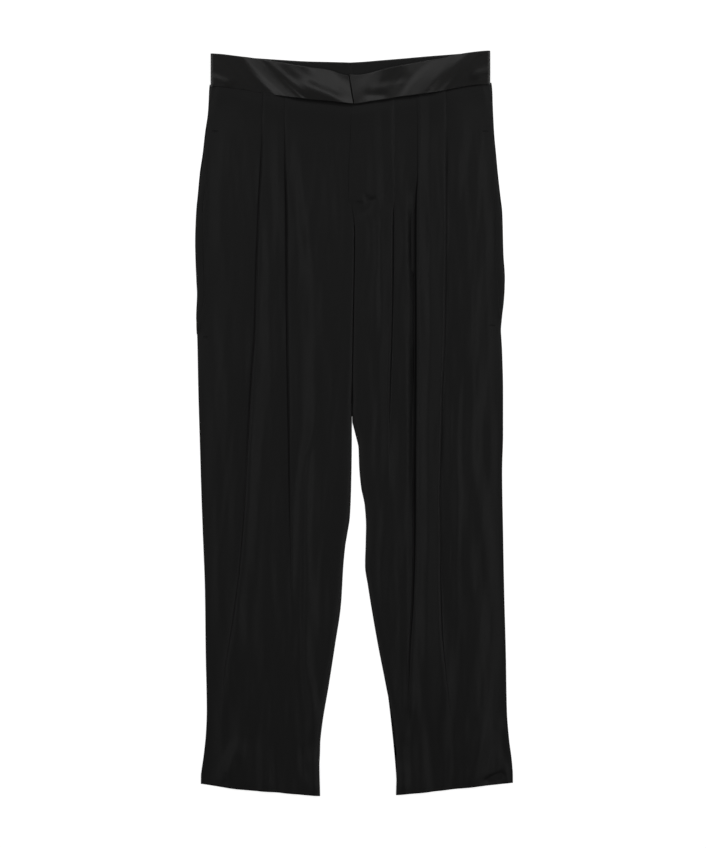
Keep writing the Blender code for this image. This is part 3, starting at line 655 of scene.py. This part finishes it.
# Backs, one for each leg, of the same crepe. They lie flat on the floor and roll
# up at both seams to meet the fronts, with soft waves of their own.
UNDERLAP = 2.5  # how far the left back's seam allowance reaches under the right back
BACK_COLUMNS = 70
MID_BACK = 100.0  # out, where the places of a back's rows are read
BACK_LEVEL, BACK_ROLL, BACK_WAVES = 0.12, 0.85, 0.25  # height, and what rolled edges and waves add to it
for leg in (right_leg, left_leg):
    node = f"back_{leg.name}"
    shares = np.linspace(0, 1, ROWS // 2)[:, None]
    across_share = np.sin(np.linspace(-np.pi / 2, np.pi / 2, BACK_COLUMNS)) * 0.5 + 0.5
    top = follow(leg.back_waist, MID_BACK) - UNDER_BAND
    down = np.repeat(top + shares * (follow(leg.hem, MID_BACK) - top), BACK_COLUMNS, axis=1)
    inner = inner_edge(leg, CENTRE_BACK, down) - UNDERLAP * (leg.sign > 0) * (1 - ease(down, 474, 492))
    side = follow(leg.side, down)
    out = inner + (side - inner) * across_share
    top = follow(leg.back_waist, out) - UNDER_BAND
    down = top + (follow(leg.hem, out) - top) * shares
    roll = np.maximum(1 - rolled(side - out, 5), (1 - rolled(out - inner, 5)) * ease(down, 300, 480))
    if leg.sign < 0:
        roll = np.maximum(roll, 0.5 * (1 - rolled(out - inner, 2)))
    waves = np.abs(drift(out, down, 51 + leg.sign, rise=1.0, wide=40, long=260))
    height = BACK_LEVEL + BACK_ROLL * roll + BACK_WAVES * waves * (1 - roll)
    out, down, height = with_turned_hem(out, down, height)
    hem = len(HEM_TURN)
    height[-hem:] += 2 * (height[-hem - 1] - height[-hem:])  # turned to lie above the back, not below it
    mesh = grid_mesh(node, to_frame(leg, out, down, height), leg.sign < 0)
    piece = new_object(f"{node}_cloth", mesh, crepe)
    declare(piece, node)

# Pocket bags, of crepe. Only the edge of each shows, where the mouth in the side
# seam gapes: it runs out to the seam and rolls down to meet the back.
POCKET_TOP, POCKET_BOTTOM, POCKET_WIDTH = 66.0, 384.0, 150.0
BAG_ROWS, BAG_COLUMNS = 120, 60
BAG_CURVE = 120.0  # down, from which a bag narrows to its bottom
BAG_LEVEL, BAG_ROLL, BAG_WAVES = 2.35, 1.1, 0.15  # height, what its edge rolls down, and its waves
for leg in (right_leg, left_leg):
    node = f"pocket_bag_{leg.name}"
    down = np.linspace(POCKET_TOP, POCKET_BOTTOM, BAG_ROWS)[:, None]
    narrowing = ((down - BAG_CURVE) / (POCKET_BOTTOM + 2 - BAG_CURVE)).clip(0)
    depth = POCKET_WIDTH * np.sqrt(np.clip(1 - narrowing**3, 0.02, 1))
    share = np.linspace(0, 1, BAG_COLUMNS) ** 1.6
    side = follow(leg.side, down) - 0.25
    out = side - depth * share
    down = np.repeat(down, BAG_COLUMNS, axis=1)
    waves = drift(out, down, 71 + leg.sign, rise=1.0, wide=30, long=60) * ease(share, 0, 0.1)
    height = BAG_LEVEL - BAG_ROLL * (1 - rolled(side - out, 6)) + BAG_WAVES * waves
    mesh = grid_mesh(node, to_frame(leg, out, down, height), leg.sign < 0)
    piece = new_object(f"{node}_cloth", mesh, crepe)
    declare(piece, node)

# Satin of the waistband: long smooth floats of yarn, so it mirrors the lights in
# broad soft patches, drawn out across the floats, and shows each ripple.
FLOAT_LENGTH, FLOAT_WIDTH = 4.0, 0.4  # mm, drawn wider than the real 0.15 mm so that they show
satin, tree, shader = new_material(
    "black_satin_weave",
    base_color=linear("#100f0e"),
    roughness=0.32,
    specular_ior_level=0.5,
    anisotropic=0.3,
)
place = add_node(tree, "ShaderNodeTexCoord")
scale = (1 / (FLOAT_LENGTH * MM), 1 / (FLOAT_WIDTH * MM), 1)
stretch = add_node(tree, "ShaderNodeMapping", {"Scale": scale}, [("Vector", place, "UV")])
floats = add_node(tree, "ShaderNodeTexNoise", {"Scale": 1.0, "Detail": 2}, [("Vector", stretch, "Vector")])
bump = add_node(tree, "ShaderNodeBump", {"Strength": 0.1, "Distance": 0.1 * MM}, [("Height", floats, "Fac")])
tree.links.new(bump.outputs["Normal"], shader.inputs["Normal"])
tangent = add_node(tree, "ShaderNodeTangent", {"direction_type": "UV_MAP", "uv_map": "cloth"})
tree.links.new(tangent.outputs["Tangent"], shader.inputs["Tangent"])

# Back waistbands. Satin lies outside, against the floor, and turns over the top
# edge; the crepe facing sewn inside it shows above the front bands, with its
# seam at the centre back.
BAND_WIDTH = 43.5
BAND_STATIONS = 160
OUTSIDE_ROWS, TURN_ROWS, FACING_ROWS = 14, 9, 24
OUTSIDE_LEVEL = 0.45  # height of the satin above the floor
OUTSIDE_SIDE_RISE = 1.6  # how much it rises to the side seam
TOP_TURN = 1.05  # half the height of the turn at the top edge
TURNED_IN, TURNED_LEVEL = 1.6, 2.6  # how far the satin reaches in over that edge, and its height there
FACING_LEVEL = 2.75


def as_grid(rows):
    """(out, down, height) as three grids, from a list of such rows."""
    return [np.stack([row[axis] for row in rows]) for axis in range(3)]


for leg in (right_leg, left_leg):
    centre = inner_edge(leg, CENTRE_BACK, 30) - UNDERLAP * (leg.sign > 0)
    side = leg.side[0].out + 0.2
    station = centre + (side - centre) * np.linspace(0, 1, BAND_STATIONS)
    under = 0.35 * (1 - ease(station - centre, UNDERLAP - 0.5, UNDERLAP + 1.5)) * (leg.sign > 0)
    lower = follow(leg.back_waist, station) + 1.0
    upper = follow(leg.back_waist, station) - BAND_WIDTH
    side_rise = OUTSIDE_SIDE_RISE * (1 - rolled(side - station, 7))

    node = f"waistband_back_{leg.name}"
    rows = []
    for t in np.linspace(0, 1, OUTSIDE_ROWS):
        level = OUTSIDE_LEVEL - under + side_rise + 0.2 * (1 - t) ** 8
        rows.append((station, lower + (upper - lower) * t, level))
    for angle in np.linspace(0, np.pi, TURN_ROWS)[1:]:
        level = OUTSIDE_LEVEL + TOP_TURN * (1 - np.cos(angle)) + side_rise * (1 + np.cos(angle)) / 2
        rows.append((station, upper - 0.9 * np.sin(angle), level - under))
    rows.append((station, upper + TURNED_IN, TURNED_LEVEL - under))
    mesh = grid_mesh(node, to_frame(leg, *as_grid(rows)), leg.sign > 0)
    piece = new_object(f"{node}_satin", mesh, satin)
    declare(piece, node)

    node = f"waistband_facing_{leg.name}"
    if leg.sign < 0:
        seam_depth = 0.9 * (1 - rolled(station - centre, 2.5))
    else:
        seam_depth = 0.7 * (1 - ease(station - centre, 2.2, 4.5))
    rows = []
    for t in np.linspace(0, 1, FACING_ROWS):
        waves = 0.12 * drift(station, upper + BAND_WIDTH * t, 91 + leg.sign, rise=1.0, wide=40, long=60)
        tucked = 0.5 if t == 0 else 0.0
        level = FACING_LEVEL - tucked - seam_depth + waves * ease(t, 0, 0.2)
        rows.append((station - 0.1, upper + 1.2 + (lower - upper - 3) * t, level))
    mesh = grid_mesh(node, to_frame(leg, *as_grid(rows)), leg.sign > 0)
    piece = new_object(f"{node}_cloth", mesh, crepe)
    declare(piece, node)

# Front waistbands. Each is satin over a firm interfacing, folded over at the top
# and sewn to the front below, with the soft ripples that its bias cut gives it.
SLIT_TOP, SLIT_BOTTOM, SLIT_GAP = -6.9, -0.3, 1.0  # out of the slit between the bands, and its width
BAND_LEVEL = 5.3  # height of the face, to which its ripples add
BAND_FALL = 0.3  # how much lower its upper part lies
PRESSED = 0.84  # how much of its ripples the interfacing leaves
LEAN_PIVOT = 0.65  # how far up the face the line lies about which it leans
SIDE_DROP = 3.2  # of the face, where it rolls down to the side seam
SEAM_DROP, ALLOWANCE_DROP = 2.4, 2.8  # of its lower edge into the seam, and of what is sewn in
FOLD_RADIUS = 0.8  # of the fold at the top
INSIDE_GAP = 1.4  # between the face and the satin that is folded behind it
BAND_TOP = {
    "right": [
        Across(-10, 35), Across(5.5, 32.6), Across(16.4, 29.9), Across(25.9, 26.7), Across(39.5, 24.5),
        Across(59.9, 22.6), Across(87.1, 18.6), Across(101, 16.3), Across(121, 13.3), Across(142, 9.4),
        Across(162, 6.7), Across(180, 4.5), Across(196, 3.4),
    ],
    "left": [
        Across(-8, 31), Across(-1.4, 31.3), Across(10.8, 32.2), Across(21.7, 30.6), Across(35.3, 27.0),
        Across(48.9, 23.3), Across(62.5, 20.4), Across(82.9, 16.3), Across(103.3, 12.9), Across(123.7, 9.6),
        Across(140, 5.4), Across(157.7, 2.6), Across(183.5, 0.3), Across(190, 0.2),
    ],
}
At = namedtuple("At", "place value")  # a place out from the middle, and what holds there
LEAN = {  # mm that the ripples run out for each mm that they run up
    "right": [At(0, 1.7), At(60, 1.4), At(130, 1.3), At(200, 0.9)],
    "left": [At(0, 0.3), At(60, 0.6), At(110, 0.9), At(200, 1.5)],
}
SWELLS = {  # height of the ripples
    "right": [
        At(-60, 4.2), At(-40, 3.2), At(-22, 2.4), At(-4, 2.4), At(12, 3.2), At(30, 4.2),
        At(48, 5.0), At(64, 5.8), At(76, 6.5), At(88, 7.1), At(98, 7.0), At(104, 6.5),
        At(118, 4.4), At(130, 2.5), At(140, 1.9), At(150, 1.8), At(230, 2.2),
    ],
    "left": [
        At(-40, 2.6), At(-24, 2.0), At(-8, 1.8), At(6, 2.3), At(22, 3.6), At(36, 4.5),
        At(46, 4.6), At(60, 3.9), At(72, 3.8), At(86, 4.2), At(104, 5.0), At(118, 5.3),
        At(130, 5.4), At(220, 5.2),
    ],
}
TILTS = {  # degrees that the face leans towards the head
    "right": [
        At(-60, 5.0), At(0, 5.6), At(50, 5.8), At(68, 4.0), At(80, 2.0), At(92, 1.5),
        At(104, 3.5), At(122, 3.2), At(138, -0.6), At(230, -1.0),
    ],
    "left": [
        At(-40, 5.0), At(0, 5.4), At(14, 4.8), At(60, 5.2), At(90, 6.3), At(112, 5.2),
        At(132, 1.2), At(146, -0.5), At(220, -1.5),
    ],
}
LEVEL_OUT = {"right": 82, "left": 52}  # out, where the upper part of the face lies almost level
RIPPLES = {  # that cross the others
    "right": [Crease(46, 76, 72, 2, 1.5, 9), Crease(35, 198, 46, 166, 1.2, 6.5)],
    "left": [Crease(36, 160, 26, 196, 1.2, 7), Crease(60, 14, 60, 46, -0.9, 6)],
}


def band_grid(leg):
    """(out, down, height) of a front waistband: its face from the seam up, the top fold, and its inside."""
    stations, face, fold, inside = 260, 40, 6, 14
    slit = leg.sign * SLIT_BOTTOM + SLIT_GAP / 2
    side = leg.side[0].out + 0.2
    station = slit + (side - slit) * np.concatenate([[0.0001], np.linspace(0, 1, stations)])
    lower = follow(leg.waist, station) + 0.6
    upper = follow(BAND_TOP[leg.name], station)
    pivot = (1 - LEAN_PIVOT) * lower + LEAN_PIVOT * upper
    side_drop = SIDE_DROP * (1 - rolled(side - station, 3.5))
    rows = []
    for t in np.linspace(0, 1, face):
        out = station + leg.sign * (SLIT_TOP - SLIT_BOTTOM) * t * (1 - ease(station - slit, 0, 60))
        down = lower + (upper - lower) * t
        slanted = out + follow(LEAN[leg.name], out) * (down - (lower + upper) / 2)
        waves = drift(slanted, down, 61 + leg.sign, rise=0.1, wide=24, long=90)
        crossing = crease_height(RIPPLES[leg.name], out, down)
        swell = (follow(SWELLS[leg.name], slanted) + waves + crossing) * PRESSED
        level_top = ease(t, 0.4, 0.75) * (1 - ease(np.abs(out - LEVEL_OUT[leg.name]), 12, 30))
        tilt = np.radians(follow(TILTS[leg.name], slanted) * (1 - 0.9 * level_top))
        height = BAND_LEVEL - BAND_FALL * ease(t, 0.4, 1) + swell - np.tan(tilt) * (pivot - down) - side_drop
        height[0] -= SEAM_DROP
        rows.append((out, down, height))
    out, down, height = rows[0]
    rows.insert(0, (out, down - 0.05, height - ALLOWANCE_DROP))
    out, down, height = rows[-1]
    for angle in np.linspace(0, np.pi, fold + 1)[1:]:
        rows.append((out, down - FOLD_RADIUS * np.sin(angle), height - FOLD_RADIUS * (1 - np.cos(angle))))
    out, down, height = rows[-1]
    for t in np.linspace(0, 1, inside)[1:]:
        _, _, before_it = rows[1 + round((1 - t) * (face - 1))]
        rows.append((out, down + (lower - upper - 1.5) * t, np.minimum(height, before_it - INSIDE_GAP)))
    return as_grid(rows)


for leg in (right_leg, left_leg):
    node = f"waistband_front_{leg.name}"
    mesh = grid_mesh(node, to_frame(leg, *band_grid(leg)), leg.sign < 0)
    piece = new_object(f"{node}_satin", mesh, satin)
    declare(piece, node)

# Fly. The shield behind it is crepe, and the closed zip lies hidden under the lap.
# Its tape is woven polyester, matt and with fine ribs across it.
RIBS = 500  # the wave's scale, which puts the tape's ribs 0.63 mm apart
tape, tree, shader = new_material("black_zip_tape_woven", base_color=linear("#101010"), roughness=0.7)
place = add_node(tree, "ShaderNodeTexCoord")
wave = {"Scale": RIBS, "bands_direction": "Y"}
ribs = add_node(tree, "ShaderNodeTexWave", wave, [("Vector", place, "Object")])
bump = add_node(tree, "ShaderNodeBump", {"Strength": 0.2, "Distance": 0.1 * MM}, [("Height", ribs, "Fac")])
tree.links.new(bump.outputs["Normal"], shader.inputs["Normal"])
for node, finish in (("fly_shield", crepe), ("fly_zip", tape)):
    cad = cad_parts[node]
    for slot in cad.material_slots:
        slot.material = finish

# Stitches. Black spun thread, about as matt as the crepe, sews the fly's curved edge down
# through both layers and bars the ends of the fly and of the pocket mouths against tearing.
thread, _, _ = new_material(
    "black_polyester_thread_spun", base_color=linear("#0c0c0c"), roughness=0.65, specular_ior_level=0.25
)
STITCH, STITCH_GAP, THREAD_RADIUS = 2.3, 0.8, 0.2
RING_POINTS = 6
Ring = namedtuple("Ring", "along lift size")
STITCH_RINGS = [
    Ring(0.0, -0.25, 0.5), Ring(0.12, 0.1, 1.0), Ring(0.5, 0.16, 1.0), Ring(0.88, 0.1, 1.0),
    Ring(1.0, -0.25, 0.5),
]


def cloth_height(sheet, out, down):
    """Height of a laid sheet at a place, from the four nearest points of its grid."""
    outs, downs, heights = (axis.ravel() for axis in sheet)
    apart = (outs - out) ** 2 + (downs - down) ** 2
    near = np.argpartition(apart, 4)[:4]
    return np.average(heights[near], weights=1 / (apart[near] + 0.01))


def even_steps(path, length, gap):
    """(start, end) of each stitch along a path of (out, down) points."""
    path = np.array(path, float)
    along = np.concatenate([[0], np.cumsum(np.linalg.norm(np.diff(path, axis=0), axis=1))])

    def at(places):
        return np.stack([np.interp(places, along, path[:, axis]) for axis in (0, 1)], axis=-1)

    starts = np.arange(0, along[-1] - length, length + gap)
    return list(zip(at(starts), at(starts + length)))


def sew(name, leg, stitches):
    """One mesh of short thread tubes that dip into the cloth at both ends."""
    points, faces = [], []
    for start, end in stitches:
        along = (end - start) / np.linalg.norm(end - start)
        aside = np.array([-along[1], along[0]])
        first = len(points)
        for ring in STITCH_RINGS:
            out, down = start + (end - start) * ring.along
            level = cloth_height(laid_fronts[leg.name], out, down) + ring.lift
            for angle in np.linspace(0, 2 * np.pi, RING_POINTS, endpoint=False):
                radius = THREAD_RADIUS * ring.size
                side = aside * np.cos(angle) * radius
                points.append((out + side[0], down + side[1], level + np.sin(angle) * radius))
        last = len(points) - RING_POINTS
        for ring_start in range(first, last, RING_POINTS):
            for j in range(RING_POINTS):
                a, b = ring_start + j, ring_start + (j + 1) % RING_POINTS
                faces.append((a, b, b + RING_POINTS, a + RING_POINTS))
        faces.append(tuple(range(first + RING_POINTS - 1, first - 1, -1)))
        faces.append(tuple(range(last, last + RING_POINTS)))
    out, down, height = np.array(points).T
    mesh = bpy.data.meshes.new(name)
    mesh.from_pydata(to_frame(leg, out, down, height), [], faces)
    mesh.shade_smooth()
    mesh.validate()
    piece = new_object(name, mesh, thread)
    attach(piece, "root")


BAR_LENGTH, BAR_STITCHES, BAR_REACH, BAR_SLANT = 7.0, 9, 0.9, 0.5


def bar_tack(out, down):
    """Close stitches across a short bar."""
    tops = [np.array([place, down - BAR_REACH]) for place in out + np.linspace(0, BAR_LENGTH, BAR_STITCHES)]
    return [(top, top + [BAR_SLANT, 2 * BAR_REACH]) for top in tops]


STITCHES_IN = 1.6  # from the fly's edge to its stitches
BARS_IN = 15  # from a mouth's edge to the start of its bars
fly_downs = np.linspace(76, FLY_BOTTOM - 0.2, 80)
fly_line = [(fly_edge(down) - STITCHES_IN, down) for down in fly_downs if fly_edge(down) > 4]
left_stitches = even_steps(fly_line, STITCH, STITCH_GAP) + bar_tack(4, FLY_BOTTOM - 2)
for leg, stitches in ((right_leg, []), (left_leg, left_stitches)):
    for down in (leg.mouth[0].down + 42, leg.mouth[-1].down - 4):
        mouth_edge = float(follow(leg.side, down) - follow(leg.mouth, down))
        stitches += bar_tack(mouth_edge - BARS_IN, down)
    sew(f"stitches_{leg.name}", leg, stitches)
